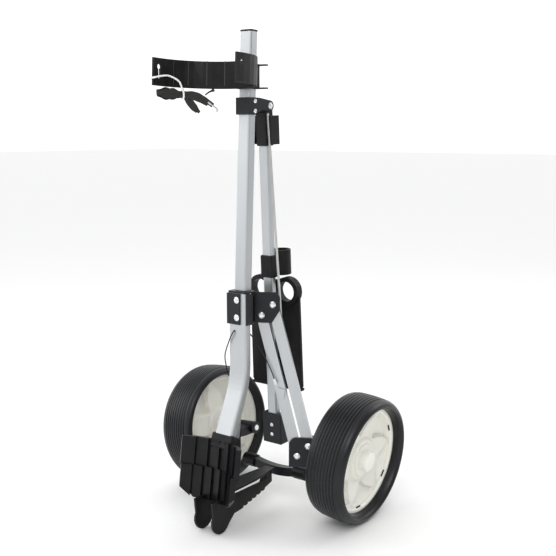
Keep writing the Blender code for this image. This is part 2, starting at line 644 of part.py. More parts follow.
def build_base():
    for side in (1, -1):
        build_foot(side)
    outside = FOOT_X + 0.0020 + GAP
    domed_pin("foot_pin", (outside, *FOOT_PIN), (-outside - 0.003, *FOOT_PIN))
    # the web between the two arms
    inner = FOOT_X - 0.0020 - GAP
    web = [(-inner, -0.1980), (inner, -0.1980), (inner, -0.1100), (0.0110, -0.0420), (-0.0110, -0.0420),
           (-inner, -0.1100)]
    add_object("foot_web", flat_plate(web, 0.0735, 0.0775, math.radians(2), Vector((0, -0.12, 0.0755))), BLACK_PLASTIC)
    # a notched stay under the web
    teeth = []
    for index in range(6):
        y = -0.1450 + 0.0140 * index
        z = 0.0200 + 0.0035 * index
        teeth += [(y, z), (y + 0.0080, z + 0.0020), (y + 0.0080, z + 0.0050)]
    top = [(-0.0440, 0.0500), (-0.0440, 0.0755), (-0.0580, 0.0750), (-0.0700, 0.0540), (-0.1650, 0.0310),
           (-0.1650, 0.0180)]
    add_object("foot_stay", upright_plate(teeth + top, -0.0070, 0.0070), BLACK_PLASTIC)

    # the rest bar hangs a little in its middle
    spots = []
    for index in range(9):
        x = -0.0520 + 0.1040 * index / 8
        spots.append((x, 0.0700 + 0.0060 * (x / 0.052) ** 2))
    low = [(x, z - 0.0095) for x, z in spots]
    high = [(x, z + 0.0095) for x, z in reversed(spots)]
    outline = low + high
    bar = prism([Vector((x, -0.0310, z)) for x, z in outline], [Vector((x, -0.0150, z)) for x, z in outline])
    add_object("rest_bar", bar, BLACK_STEEL)
    for side in (1, -1):
        start = Vector((side * (0.0520 + GAP), -0.0225, 0.0762))
        end = Vector((side * 0.0830, -0.0225, 0.0762))
        add_object(f"rest_bar_cap_{side_name(side)}", rod(start, end, 0.0140, 16), BLACK_PLASTIC, smooth=True)


# The handle, drawn hanging down from its pivot

HANDLE_DOWN = Vector((0, math.sin(HANDLE_TILT), -math.cos(HANDLE_TILT)))
HANDLE_BACK = Vector((0, math.cos(HANDLE_TILT), math.sin(HANDLE_TILT)))
HANDLE_TURN = Matrix.Rotation(HANDLE_TILT, 3, "X")


def on_handle(x, back, down):
    return HANDLE_PIVOT + Vector((x, 0, 0)) + HANDLE_BACK * back + HANDLE_DOWN * down


def handle_box(size, x, back, down, bevel=0.0):
    return box(size, on_handle(x, back, down), HANDLE_TURN, bevel)


def handle_plate(outline, near, far):
    """A plate across the handle. Its outline is (x, down) points, between two depths."""
    return prism([on_handle(x, near, down) for x, down in outline],
                 [on_handle(x, far, down) for x, down in outline])


def build_handle():
    group = Group("handle_axis", HANDLE_PIVOT, FRAME)
    inner_gap = MAST_SIZE[0] / 2 + GAP - PLAY
    knuckle = add_object("handle_knuckle", handle_box((2 * inner_gap - 0.0005, 0.0240, 0.0880), 0, 0, 0.0350, 0.002),
                         BLACK_PLASTIC, group)
    cut(knuckle, rod((-0.03, HANDLE_PIVOT.y, HANDLE_PIVOT.z), (0.03, HANDLE_PIVOT.y, HANDLE_PIVOT.z),
                     PIN_RADIUS + GAP, 16), group)
    lug = ROD_TOP.x - ROD_RADIUS - GAP
    join(knuckle, rod((-lug, ROD_TOP.y, ROD_TOP.z), (lug, ROD_TOP.y, ROD_TOP.z), 0.0026, 12), group)
    # cheeks outside the drive rods; the front is open, because the rods swing out of it
    for side in (1, -1):
        join(knuckle, handle_box((0.0022, 0.0280, 0.0570), side * 0.0265, -0.0010, 0.0475, 0.0006), group)
        join(knuckle, handle_box((0.0150, 0.0110, 0.0570), side * 0.0193, 0.0060, 0.0475), group)
    start = 0.0300
    section = rounded_rectangle(*HANDLE_SIZE, 0.0030)
    pocket = rounded_rectangle(HANDLE_SIZE[0] + 2 * GAP, HANDLE_SIZE[1] + 2 * GAP, 0.0030)
    cut(knuckle, sweep_section(pocket, [on_handle(0, 0, start - GAP), on_handle(0, 0, 0.12)]), group)
    add_object("handle_tube", sweep_section(section, [on_handle(0, 0, start), on_handle(0, 0, start + HANDLE_LENGTH)],
                                            WALL), SILVER, group, smooth=True)

    tube_hole = rounded_rectangle(HANDLE_SIZE[0] + 2 * GAP, HANDLE_SIZE[1] + 2 * GAP, 0.0030)

    clamp = add_object("console_clamp", handle_box((0.0310, 0.0215, 0.0460), 0, 0.0005, 0.3240, 0.002),
                       BLACK_PLASTIC, group)
    cut(clamp, sweep_section(tube_hole, [on_handle(0, 0, 0.28), on_handle(0, 0, 0.37)]), group)

    add_object("umbrella_socket", turned(
        [(0.0155, -0.0260), (0.0195, -0.0260), (0.0195, 0.0260), (0.0155, 0.0260)],
        on_handle(0.0085, 0.0312, 0.3185), HANDLE_DOWN, 24, closed=True), BLACK_PLASTIC, group, smooth=True)

    ring_row, ring_x, ring_out, ring_in = 0.3760, 0.0340, 0.0295, 0.0205
    board = [(-0.0640, ring_row), (0.0640, ring_row), (0.0660, 0.5760), (0.0600, 0.5860), (-0.0600, 0.5860),
             (-0.0660, 0.5760)]
    plate = add_object("score_board", handle_plate(board, 0.0140, 0.0190), BLACK_PLASTIC, group)
    for side in (1, -1):
        join(plate, turned([(0, -0.0085), (ring_out, -0.0085), (ring_out, 0.0085), (0, 0.0085)],
                           on_handle(side * ring_x, 0.0175, ring_row), HANDLE_BACK, 28), group)
    join(plate, handle_box((0.0260, 0.0102, 0.0400), 0, 0.0124, ring_row - 0.0020), group)
    join(plate, handle_box((0.1300, 0.0110, 0.0050), 0, 0.0170, 0.5830), group)
    for side in (1, -1):
        cut(plate, rod(on_handle(side * ring_x, -0.02, ring_row), on_handle(side * ring_x, 0.05, ring_row),
                       ring_in, 28), group)

    end = 0.6720
    bracket = add_object("handle_end_bracket", handle_box((0.0480, 0.0280, 0.0660), 0, 0.0040, end, 0.001),
                         BLACK_STEEL, group)
    cut(bracket, handle_box((0.0430, 0.0280, 0.0700), 0, 0.0065, end), group)
    seat = add_object("handle_end_insert", handle_box((0.0424, 0.0225, 0.0560), 0, 0.0040, end - 0.002, 0.001),
                      BLACK_PLASTIC, group)
    cut(seat, sweep_section(tube_hole, [on_handle(0, 0, 0.60), on_handle(0, 0, start + HANDLE_LENGTH + GAP)]), group)
    return group


def build_drive_rod(side, handle_group):
    reach, height = rod_foot(side)
    back = LEG_DEPTH - LEG_THICK / 2 - 0.0060 - 0.0050
    top = Vector((side * ROD_TOP.x, ROD_TOP.y, ROD_TOP.z))
    foot = swing_point(side, reach, back, height)
    group = Group(f"drive_rod_axis_{side_name(side)}", top, handle_group)
    name = f"drive_rod_{side_name(side)}"
    maker = rod(top, foot, ROD_RADIUS, 10)
    add_object(name, maker, ROD_STEEL, group, origin=top, smooth=True)


# Soft pieces

def cord(name, points, radius, material, resolution=2):
    """A tube through smooth points, as a curve with filled ends."""
    curve = bpy.data.curves.new(name, "CURVE")
    curve.dimensions = "3D"
    curve.bevel_depth = radius
    curve.bevel_resolution = resolution
    curve.use_fill_caps = True
    spline = curve.splines.new("POLY")
    spline.points.add(len(points) - 1)
    for target, spot in zip(spline.points, points):
        target.co = (*spot, 1.0)
    obj = bpy.data.objects.new(name, curve)
    curve.materials.append(material)
    obj.parent = FRAME.empty
    bpy.context.scene.collection.objects.link(obj)
    return obj


def smooth_route(knots, spacing):
    """Reads points at an even spacing from a smooth curve through the knots."""
    knots = [Vector(knot) for knot in knots]
    ends = [2 * knots[0] - knots[1]] + knots + [2 * knots[-1] - knots[-2]]
    fine = []
    for p0, p1, p2, p3 in zip(ends, ends[1:], ends[2:], ends[3:]):
        for step in range(24):
            t = step / 24
            fine.append(0.5 * (2 * p1 + (p2 - p0) * t + (2 * p0 - 5 * p1 + 4 * p2 - p3) * t ** 2
                               + (3 * p1 - p0 - 3 * p2 + p3) * t ** 3))
    fine.append(knots[-1])
    total = sum((b - a).length for a, b in zip(fine, fine[1:]))
    count = max(int(total / spacing), 2)
    points, walked, target = [fine[0]], 0.0, total / count
    for a, b in zip(fine, fine[1:]):
        length = (b - a).length
        while walked + length >= target * len(points) and len(points) < count:
            points.append(a.lerp(b, (target * len(points) - walked) / length))
        walked += length
    points.append(fine[-1])
    return points


def loft(stations):
    """A soft solid through ovals. Each station is (centre, height, thickness)."""
    maker = bmesh.new()
    centres = [Vector(centre) for centre, _, _ in stations]
    rings = []
    for index, (_, height, thickness) in enumerate(stations):
        along = centres[min(index + 1, len(stations) - 1)] - centres[max(index - 1, 0)]
        level = Vector((along.y, -along.x, 0)).normalized()
        upright = level.cross(along).normalized()
        ring = []
        for step in range(10):
            angle = 2 * math.pi * step / 10
            spot = centres[index] + level * (thickness / 2 * math.cos(angle))
            ring.append(maker.verts.new(spot + upright * (height / 2 * math.sin(angle))))
        rings.append(ring)
    for first, second in zip(rings, rings[1:]):
        for step in range(10):
            after = (step + 1) % 10
            maker.faces.new((first[step], first[after], second[after], second[step]))
    maker.faces.new(rings[0])
    maker.faces.new(rings[-1])
    return maker


def build_strap():
    """The bag strap, gathered into a hank that a white cord ties up."""
    hank = add_object("strap_hank", loft([
        ((-0.0990, -0.2560, 0.8570), 0.008, 0.006), ((-0.0987, -0.2500, 0.8570), 0.018, 0.010),
        ((-0.0980, -0.2380, 0.8560), 0.023, 0.013), ((-0.0965, -0.2240, 0.8555), 0.020, 0.013),
        ((-0.0930, -0.2060, 0.8560), 0.014, 0.012), ((-0.0895, -0.1970, 0.8555), 0.013, 0.012),
        ((-0.0850, -0.1890, 0.8545), 0.016, 0.013), ((-0.0780, -0.1790, 0.8535), 0.013, 0.010),
        ((-0.0665, -0.1660, 0.8470), 0.010, 0.006), ((-0.0500, -0.1470, 0.8300), 0.008, 0.004)]),
        STRAP_FABRIC, smooth=True)
    join(hank, loft([
        ((-0.0885, -0.1950, 0.8540), 0.008, 0.006), ((-0.0840, -0.1870, 0.8430), 0.012, 0.008),
        ((-0.0780, -0.1780, 0.8310), 0.011, 0.006), ((-0.0730, -0.1690, 0.8205), 0.005, 0.004)]))
    lead = smooth_route([(-0.0600, -0.1665, 0.8545), (-0.0560, -0.1600, 0.8600), (-0.0480, -0.1530, 0.8645)], 0.004)
    cord("strap_lead", lead, 0.0016, STRAP_FABRIC)
    knots = [(-0.1080, -0.2520, 0.8840), (-0.1088, -0.2620, 0.8840), (-0.1040, -0.2680, 0.8845),
             (-0.0983, -0.2640, 0.8855), (-0.0975, -0.2480, 0.8885), (-0.0965, -0.2280, 0.8895),
             (-0.0890, -0.2090, 0.8800)]
    middle = Vector((-0.0908, -0.2005, 0.8555))
    along = Vector((0.36, 0.93, 0)).normalized()
    level = Vector((along.y, -along.x, 0))
    for step in range(9):
        angle = math.radians(55 - 40 * step)
        knots.append(middle + level * (0.0090 * math.cos(angle)) + Vector((0, 0, 0.0098 * math.sin(angle)))
                     + along * (0.0006 * step))
    cord("tie_cord", smooth_route(knots, 0.0042), 0.0018, TIE_PLASTIC)


def build_spread_cord():
    """The thin cord that stops the legs. It leaves the lower tube at the front and at the back."""
    hole = Vector((-0.0075, LOWER_TOP.y, 0.3910))
    front, back = hole - Vector((0, 0.0085, 0)), hole + Vector((0, 0.0085, 0))
    left = [front + Vector((0, 0.0030, 0)), front + Vector((0, -0.0030, -0.0010)), (-0.0160, -0.1500, 0.3740),
            (-0.0340, -0.1440, 0.3400), (-0.0480, -0.1260, 0.3120), (-0.0560, -0.1110, 0.2880),
            (-0.0560, -0.0970, 0.2760), (-0.0560, -0.0870, 0.2725)]
    right = [back - Vector((0, 0.0030, 0)), back + Vector((0.0040, 0.0040, -0.0010)), (0.0120, -0.1200, 0.3830),
             (0.0280, -0.1080, 0.3530), (0.0440, -0.0970, 0.3150), (0.0540, -0.0910, 0.2830)]
    cord("spread_cord_left", smooth_route(left, 0.0040), 0.0013, CORD_BLACK)
    cord("spread_cord_right", smooth_route(right, 0.0040), 0.0013, CORD_BLACK)


def build_all():
    build_mast()
    build_upper_cradle()
    build_hinge_bracket()
    for side in (1, -1):
        build_mid_bracket(side)
        lower = build_leg(side, "lower")
        upper = build_leg(side, "upper")
        build_leg_stud(side, upper)
        bracket = build_wheel_bracket(side, lower)
        build_wheel(side, bracket)
    build_lower_cradle()
    build_base()
    handle = build_handle()
    for side in (1, -1):
        build_drive_rod(side, handle)
    build_strap()
    build_spread_cord()


build_all()
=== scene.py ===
import json
import math

import bmesh
import bpy
from mathutils import Matrix, Vector


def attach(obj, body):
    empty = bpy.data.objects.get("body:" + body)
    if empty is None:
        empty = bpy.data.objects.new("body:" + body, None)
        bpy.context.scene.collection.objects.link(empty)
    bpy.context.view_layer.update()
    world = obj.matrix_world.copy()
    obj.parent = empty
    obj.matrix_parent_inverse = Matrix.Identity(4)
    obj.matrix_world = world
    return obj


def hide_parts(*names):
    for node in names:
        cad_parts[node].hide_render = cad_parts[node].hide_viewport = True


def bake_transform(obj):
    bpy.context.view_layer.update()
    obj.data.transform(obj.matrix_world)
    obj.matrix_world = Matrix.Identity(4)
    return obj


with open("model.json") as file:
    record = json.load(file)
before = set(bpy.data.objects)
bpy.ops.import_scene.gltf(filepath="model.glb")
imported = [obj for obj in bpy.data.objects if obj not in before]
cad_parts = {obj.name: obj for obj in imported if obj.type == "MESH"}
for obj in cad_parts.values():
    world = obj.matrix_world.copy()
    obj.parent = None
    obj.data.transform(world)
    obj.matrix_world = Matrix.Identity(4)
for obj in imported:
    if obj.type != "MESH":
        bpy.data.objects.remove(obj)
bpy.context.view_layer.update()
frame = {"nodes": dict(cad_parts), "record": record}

# A golf push trolley, folded: X runs to its right, Y to its back, Z up, all in metres.
NODES = frame["nodes"]
JOINTS = {joint["name"]: joint for joint in frame["record"]["behaviour"]["joints"]}
AXLE_Y = JOINTS["wheel_right_spin"]["pos_m"][1]


def at(x, y, z):
    """A point of the trolley's layout, whose Y is measured from the wheels' axle line."""
    return Vector((x, y + AXLE_Y, z))


# Camera and light

CAMERA_AZIMUTH = math.radians(38.3)
CAMERA_ELEVATION = math.radians(8.8)
CAMERA_DISTANCE = 1.99
CAMERA_LENS = 61.45
CAMERA_SENSOR = 36
AIM_HEIGHT = 0.481
AIM_SHIFT = 0.009


def make_camera():
    level = math.cos(CAMERA_ELEVATION)
    back = Vector((math.sin(CAMERA_AZIMUTH) * level, -math.cos(CAMERA_AZIMUTH) * level,
                   math.sin(CAMERA_ELEVATION)))
    right = Vector((math.cos(CAMERA_AZIMUTH), math.sin(CAMERA_AZIMUTH), 0))
    data = bpy.data.cameras.new("camera")
    data.sensor_width = CAMERA_SENSOR
    data.lens = CAMERA_LENS
    data.clip_end = 50
    camera = bpy.data.objects.new("camera", data)
    axes = Matrix((right, back.cross(right), back)).transposed()
    place = at(0, 0, AIM_HEIGHT) - right * AIM_SHIFT + back * CAMERA_DISTANCE
    camera.matrix_world = Matrix.Translation(place) @ axes.to_4x4()
    bpy.context.scene.collection.objects.link(camera)
    bpy.context.scene.camera = camera


def area_light(name, place, target, size, power):
    data = bpy.data.lights.new(name, "AREA")
    data.shape = "RECTANGLE"
    data.size, data.size_y = size
    data.energy = power
    light = bpy.data.objects.new(name, data)
    light.location = place
    light.rotation_euler = (Vector(target) - Vector(place)).to_track_quat("-Z", "Y").to_euler()
    bpy.context.scene.collection.objects.link(light)


FLOOR_SIZE = 30
FLOOR_GAP = 0.0006  # keeps the floor just under the wheels


def make_world():
    """White light all round, darker on the far right, so that right faces stand out from front ones."""
    world = bpy.data.worlds.new("studio")
    world.use_nodes = True
    nodes, links = world.node_tree.nodes, world.node_tree.links
    direction = nodes.new("ShaderNodeTexCoord")
    split = nodes.new("ShaderNodeSeparateXYZ")
    shade = nodes.new("ShaderNodeMapRange")
    for name, value in (("From Min", -0.1), ("From Max", 0.75), ("To Min", 1.2), ("To Max", 0.40)):
        shade.inputs[name].default_value = value
    links.new(direction.outputs["Generated"], split.inputs["Vector"])
    links.new(split.outputs["X"], shade.inputs["Value"])
    links.new(shade.outputs["Result"], nodes["Background"].inputs["Strength"])
    nodes["Background"].inputs["Color"].default_value = (1.0, 1.0, 1.0, 1.0)
    bpy.context.scene.world = world


def make_studio():
    make_world()
    bpy.context.scene.view_settings.view_transform = "Standard"
    area_light("key_light", (1.6, -2.0, 2.4), (0, 0, 0.5), (1.6, 1.6), 30)
    area_light("side_light", (-2.4, -1.4, 1.6), (0, 0, 0.5), (1.2, 2.0), 16)
    area_light("back_light", (1.2, 2.4, 2.0), (0, 0, 0.6), (1.6, 1.6), 14)
    maker = bmesh.new()
    bmesh.ops.create_grid(maker, x_segments=8, y_segments=8, size=FLOOR_SIZE)
    floor = mesh_object("floor", maker, FLOOR)
    floor.location.z = -FLOOR_GAP


# Materials

def shader_of(material):
    return material.node_tree.nodes["Principled BSDF"]


def start_material(name, colour, roughness, metallic=0.0):
    """A new material with one Principled shader. Nodes added later give it its variation."""
    material = bpy.data.materials.new(name)
    material.use_nodes = True
    shader = shader_of(material)
    shader.inputs["Base Color"].default_value = (*colour, 1)
    shader.inputs["Roughness"].default_value = roughness
    shader.inputs["Metallic"].default_value = metallic
    material.diffuse_color = (*colour, 1)
    return material


def noise_of(material, scale, stretch=(1, 1, 1), detail=3.0):
    """Noise over the object, stretched along an axis where its scale there is small."""
    nodes, links = material.node_tree.nodes, material.node_tree.links
    coordinates = nodes.new("ShaderNodeTexCoord")
    mapping = nodes.new("ShaderNodeMapping")
    mapping.inputs["Scale"].default_value = stretch
    noise = nodes.new("ShaderNodeTexNoise")
    noise.inputs["Scale"].default_value = scale
    noise.inputs["Detail"].default_value = detail
    links.new(coordinates.outputs["Object"], mapping.inputs["Vector"])
    links.new(mapping.outputs["Vector"], noise.inputs["Vector"])
    return noise.outputs["Fac"]


def ramp(material, source, low, high, start=0.3, end=0.7):
    """A colour that runs from low to high as source runs from start to end."""
    nodes, links = material.node_tree.nodes, material.node_tree.links
    node = nodes.new("ShaderNodeValToRGB")
    node.color_ramp.elements[0].position = start
    node.color_ramp.elements[1].position = end
    node.color_ramp.elements[0].color = (*low, 1)
    node.color_ramp.elements[1].color = (*high, 1)
    links.new(source, node.inputs["Fac"])
    return node.outputs["Color"]


def spread(material, source, low, high):
    """A number that runs from low to high with source."""
    nodes, links = material.node_tree.nodes, material.node_tree.links
    node = nodes.new("ShaderNodeMapRange")
    node.inputs["To Min"].default_value = low
    node.inputs["To Max"].default_value = high
    links.new(source, node.inputs["Value"])
    return node.outputs["Result"]


def colour_by(material, source, low, high, start=0.3, end=0.7):
    material.node_tree.links.new(ramp(material, source, low, high, start, end),
                                 shader_of(material).inputs["Base Color"])


def rough_by(material, source, low, high):
    material.node_tree.links.new(spread(material, source, low, high),
                                 shader_of(material).inputs["Roughness"])


def bump_by(material, source, strength, distance):
    nodes, links = material.node_tree.nodes, material.node_tree.links
    bump = nodes.new("ShaderNodeBump")
    bump.inputs["Strength"].default_value = strength
    bump.inputs["Distance"].default_value = distance
    links.new(source, bump.inputs["Height"])
    links.new(bump.outputs["Normal"], shader_of(material).inputs["Normal"])


def wave_of(material, scale, direction):
    """Bands across the object, slightly uneven, for a weave."""
    nodes, links = material.node_tree.nodes, material.node_tree.links
    coordinates = nodes.new("ShaderNodeTexCoord")
    wave = nodes.new("ShaderNodeTexWave")
    wave.bands_direction = direction
    wave.inputs["Scale"].default_value = scale
    wave.inputs["Distortion"].default_value = 0.6
    links.new(coordinates.outputs["Object"], wave.inputs["Vector"])
    return wave.outputs["Fac"]


def silver_material():
    material = start_material("silver_anodised", (0.44, 0.46, 0.48), 0.34, 0.85)
    streaks = noise_of(material, 60, (9, 9, 0.25), 4)
    colour_by(material, noise_of(material, 5, (1, 1, 0.6)), (0.47, 0.49, 0.505), (0.54, 0.56, 0.575))
    rough_by(material, streaks, 0.30, 0.46)
    bump_by(material, streaks, 0.12, 0.0002)
    return material


def plastic_material(name, dark, light, roughness):
    material = start_material(name, dark, roughness)
    colour_by(material, noise_of(material, 35), dark, light)
    grain = noise_of(material, 900, detail=1)
    rough_by(material, noise_of(material, 60), roughness - 0.08, roughness + 0.10)
    bump_by(material, grain, 0.25, 0.0002)
    shader_of(material).inputs["Specular IOR Level"].default_value = 0.22
    return material


def powder_material():
    material = start_material("black_powder_coat", (0.030, 0.034, 0.045), 0.38)
    colour_by(material, noise_of(material, 25), (0.0055, 0.0065, 0.0095), (0.0110, 0.0125, 0.0170))
    rough_by(material, noise_of(material, 300), 0.30, 0.45)
    bump_by(material, noise_of(material, 500, detail=1), 0.20, 0.0002)
    shader_of(material).inputs["Specular IOR Level"].default_value = 0.30
    return material


def tyre_material():
    material = start_material("tyre_rubber", (0.040, 0.042, 0.050), 0.42)
    colour_by(material, noise_of(material, 18), (0.0060, 0.0065, 0.0080), (0.0130, 0.0138, 0.0160))
    rough_by(material, noise_of(material, 80), 0.26, 0.40)
    bump_by(material, noise_of(material, 700, detail=1), 0.2, 0.0002)
    shader_of(material).inputs["Specular IOR Level"].default_value = 0.32
    return material


def hub_material():
    material = start_material("cream_hub", (0.86, 0.85, 0.77), 0.36)
    colour_by(material, noise_of(material, 7, detail=1), (0.90, 0.89, 0.81), (0.95, 0.945, 0.89))
    rough_by(material, noise_of(material, 40), 0.28, 0.42)
    bump_by(material, noise_of(material, 300, detail=1), 0.10, 0.0002)
    shader = shader_of(material)
    shader.inputs["Subsurface Weight"].default_value = 0.25
    shader.inputs["Subsurface Radius"].default_value = (0.020, 0.016, 0.009)
    return material


def webbing_material():
    material = start_material("strap_webbing", (0.014, 0.014, 0.014), 0.8)
    weave = wave_of(material, 160, "DIAGONAL")
    colour_by(material, weave, (0.008, 0.008, 0.008), (0.035, 0.034, 0.032), 0.2, 0.8)
    rough_by(material, noise_of(material, 200), 0.65, 0.9)
    bump_by(material, weave, 0.6, 0.0006)
    return material


def rivet_material():
    material = start_material("bright_rivet", (0.86, 0.86, 0.86), 0.25, 0.9)
    marks = noise_of(material, 220, detail=2)
    colour_by(material, marks, (0.70, 0.70, 0.71), (0.92, 0.92, 0.92))
    rough_by(material, marks, 0.18, 0.36)
    bump_by(material, marks, 0.15, 0.0002)
    return material


def rod_material():
    material = start_material("satin_rod", (0.62, 0.62, 0.60), 0.3, 0.9)
    streaks = noise_of(material, 90, (8, 8, 0.3), 2)
    colour_by(material, streaks, (0.56, 0.56, 0.55), (0.68, 0.68, 0.66))
    rough_by(material, streaks, 0.24, 0.38)
    bump_by(material, streaks, 0.05, 0.0001)
    return material


def light_plastic_material(name, low, high, roughness):
    material = start_material(name, high, roughness)
    colour_by(material, noise_of(material, 120), low, high)
    rough_by(material, noise_of(material, 200), roughness - 0.08, roughness + 0.08)
    bump_by(material, noise_of(material, 500), 0.15, 0.0002)
    return material


SILVER = silver_material()
STEEL = powder_material()
PLASTIC = plastic_material("black_moulded_plastic", (0.0035, 0.0035, 0.0045),
                           (0.0085, 0.0085, 0.0095), 0.36)
SOFT_PLASTIC = plastic_material("black_matte_plastic", (0.0035, 0.0035, 0.0035),
                                (0.0090, 0.0090, 0.0088), 0.46)
# a lighter plastic: painted highlight on the edges and seams of the black plastic
HIGHLIGHT_PLASTIC = light_plastic_material("painted_highlight_plastic", (0.045, 0.045, 0.050),
                             (0.085, 0.085, 0.090), 0.45)
TYRE = tyre_material()
HUB = hub_material()
WEBBING = webbing_material()
RIVET = rivet_material()
ROD = rod_material()
TIE = light_plastic_material("white_tie", (0.90, 0.90, 0.88), (0.97, 0.97, 0.96), 0.45)
CLIP = light_plastic_material("clear_grey_clip", (0.62, 0.64, 0.66), (0.80, 0.82, 0.84), 0.35)
CORD = plastic_material("black_braid", (0.012, 0.012, 0.012), (0.03, 0.03, 0.03), 0.6)
FLOOR = light_plastic_material("pale_floor", (0.93, 0.93, 0.93), (0.95, 0.95, 0.95), 0.6)
FINISHES = {
    "silver_aluminium": SILVER, "bright_steel": RIVET, "rod_steel": ROD, "tyre_rubber": TYRE,
    "cream_plastic": HUB, "black_steel": STEEL, "black_plastic": PLASTIC, "strap_webbing": WEBBING,
    "white_cord": TIE, "black_cord": CORD,
}
SLOT_OF = {part["node"]: part["material_slot"] for part in frame["record"]["subparts"]}


# Making pieces

SAME_PLACE = 1e-6


def mesh_object(name, maker, material, angle=35):
    """Turns a bmesh into a smooth-shaded object, with edges above this angle left sharp."""
    bmesh.ops.remove_doubles(maker, verts=maker.verts, dist=SAME_PLACE)
    bmesh.ops.recalc_face_normals(maker, faces=maker.faces)
    mesh = bpy.data.meshes.new(name)
    maker.to_mesh(mesh)
    maker.free()
    mesh.shade_smooth()
    mesh.set_sharp_from_angle(angle=math.radians(angle))
    mesh.materials.append(material)
    made = bpy.data.objects.new(name, mesh)
    bpy.context.scene.collection.objects.link(made)
    return made


def piece(name, maker, material, body, replaces=(), angle=35):
    """An object that rides on a body."""
    made = mesh_object(name, maker, material, angle)
    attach(made, body)
    if replaces:
        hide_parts(*replaces)
    return made


def frame_along(place, axis):
    """A frame at place whose Z runs along the axis."""
    turn = Vector((0, 0, 1)).rotation_difference(Vector(axis)).to_matrix().to_4x4()
    return Matrix.Translation(place) @ turn


def ring_of(radius, sides, height):
    """Points round the Z axis, the first one on X."""
    steps = [2 * math.pi * step / sides for step in range(sides)]
    return [Vector((radius * math.cos(turn), radius * math.sin(turn), height)) for turn in steps]


def turned(profile, place, axis, sides=48, closed=False):
    """A turned piece from (radius, height) points. A radius of zero closes it on the axis."""
    maker = bmesh.new()
    matrix = frame_along(place, axis)
    rings = []
    for radius, height in profile:
        spots = ring_of(radius, sides, height) if radius > 0 else [Vector((0, 0, height))]
        rings.append([maker.verts.new(matrix @ spot) for spot in spots])
    pairs = list(zip(rings, rings[1:]))
    if closed:
        pairs.append((rings[-1], rings[0]))
    for first, second in pairs:
        for step in range(sides):
            after = (step + 1) % sides
            corners = [first[step % len(first)], first[after % len(first)],
                       second[after % len(second)], second[step % len(second)]]
            unique = list(dict.fromkeys(corners))
            if len(unique) > 2:
                maker.faces.new(unique)
    return maker


def block(size, place, turn, bevel):
    """A small block with rounded edges."""
    maker = bmesh.new()
    bmesh.ops.create_cube(maker, size=1.0)
    bmesh.ops.scale(maker, vec=size, verts=maker.verts)
    bmesh.ops.bevel(maker, geom=maker.edges[:], offset=bevel, segments=2, affect="EDGES")
    bmesh.ops.transform(maker, matrix=Matrix.Translation(place) @ turn.to_4x4(), verts=maker.verts)
    return maker


def merge(makers):
    """One bmesh that holds all of these."""
    whole = bmesh.new()
    for maker in makers:
        mesh = bpy.data.meshes.new("part")
        maker.to_mesh(mesh)
        maker.free()
        whole.from_mesh(mesh)
        bpy.data.meshes.remove(mesh)
    return whole


FINE_STEPS = 24  # steps between two knots, before a route is evened out


def smooth_route(knots, count):
    """A Catmull-Rom curve through the knots, as count even steps."""
    knots = [Vector(knot) for knot in knots]
    ends = [2 * knots[0] - knots[1]] + knots + [2 * knots[-1] - knots[-2]]
    fine = []
    for p0, p1, p2, p3 in zip(ends, ends[1:], ends[2:], ends[3:]):
        for step in range(FINE_STEPS):
            t = step / FINE_STEPS
            fine.append(0.5 * (2 * p1 + (p2 - p0) * t + (2 * p0 - 5 * p1 + 4 * p2 - p3) * t ** 2
                               + (3 * p1 - p0 - 3 * p2 + p3) * t ** 3))
    fine.append(knots[-1])
    total = sum((b - a).length for a, b in zip(fine, fine[1:]))
    points, walked = [fine[0]], 0.0
    for a, b in zip(fine, fine[1:]):
        length = (b - a).length
        while walked + length >= total / count * len(points) and len(points) < count:
            points.append(a.lerp(b, (total / count * len(points) - walked) / length))
        walked += length
    points.append(fine[-1])
    return points


def skin(maker, rings):
    """Faces between rings that have as many points each."""
    for first, second in zip(rings, rings[1:]):
        for step in range(len(first)):
            after = (step + 1) % len(first)
            maker.faces.new((first[step], first[after], second[after], second[step]))


def sleeve(maker, rings):
    """A skin that is closed at its two ends."""
    skin(maker, rings)
    maker.faces.new(rings[0])
    maker.faces.new(rings[-1])


def direction_at(points, index):
    """The way a route runs at one of its points."""
    return (points[min(index + 1, len(points) - 1)] - points[max(index - 1, 0)]).normalized()


def tube(points, radius, sides=12):
    """A round tube along points."""
    maker = bmesh.new()
    normal = (points[1] - points[0]).orthogonal().normalized()
    rings = []
    for index, spot in enumerate(points):
        along = direction_at(points, index)
        normal = (normal - along * normal.dot(along)).normalized()
        other = along.cross(normal)
        rings.append([maker.verts.new(spot + normal * around.x + other * around.y)
                      for around in ring_of(radius, sides, 0)])
    sleeve(maker, rings)
    return maker


# Cords

TIE_DIAMETER = 0.0036
SPREAD_DIAMETER = 0.0024
GATHER = at(-0.0908, -0.2005, 0.8555)  # where the tie cord gathers the strap's folds
GATHER_WIDTH, GATHER_HEIGHT = 0.0090, 0.0098
TURN_STEP = 0.0006  # how far each step of the tie's turn moves along the strap
INWARD = Vector((0, 0.0030, 0))  # the thin cord starts this far inside the tube


def make_tie_cord():
    """A white cord that hangs from the cradle's keyhole and is tied round the gathered strap."""
    knots = [at(*knot) for knot in (
        (-0.1080, -0.2520, 0.8840), (-0.1088, -0.2620, 0.8840), (-0.1040, -0.2680, 0.8845),
        (-0.0983, -0.2640, 0.8855), (-0.0975, -0.2480, 0.8885), (-0.0965, -0.2280, 0.8895),
        (-0.0890, -0.2090, 0.8800))]
    along = Vector((0.36, 0.93, 0)).normalized()
    level = Vector((along.y, -along.x, 0))
    for step in range(9):
        angle = math.radians(55 - 40 * step)
        lift = Vector((0, 0, GATHER_HEIGHT * math.sin(angle)))
        knots.append(GATHER + level * (GATHER_WIDTH * math.cos(angle)) + lift + along * (TURN_STEP * step))
    route = smooth_route(knots, 60)
    tie = piece("tie_cord_line", tube(route, TIE_DIAMETER / 2), TIE, "frame", ["tie_cord"])


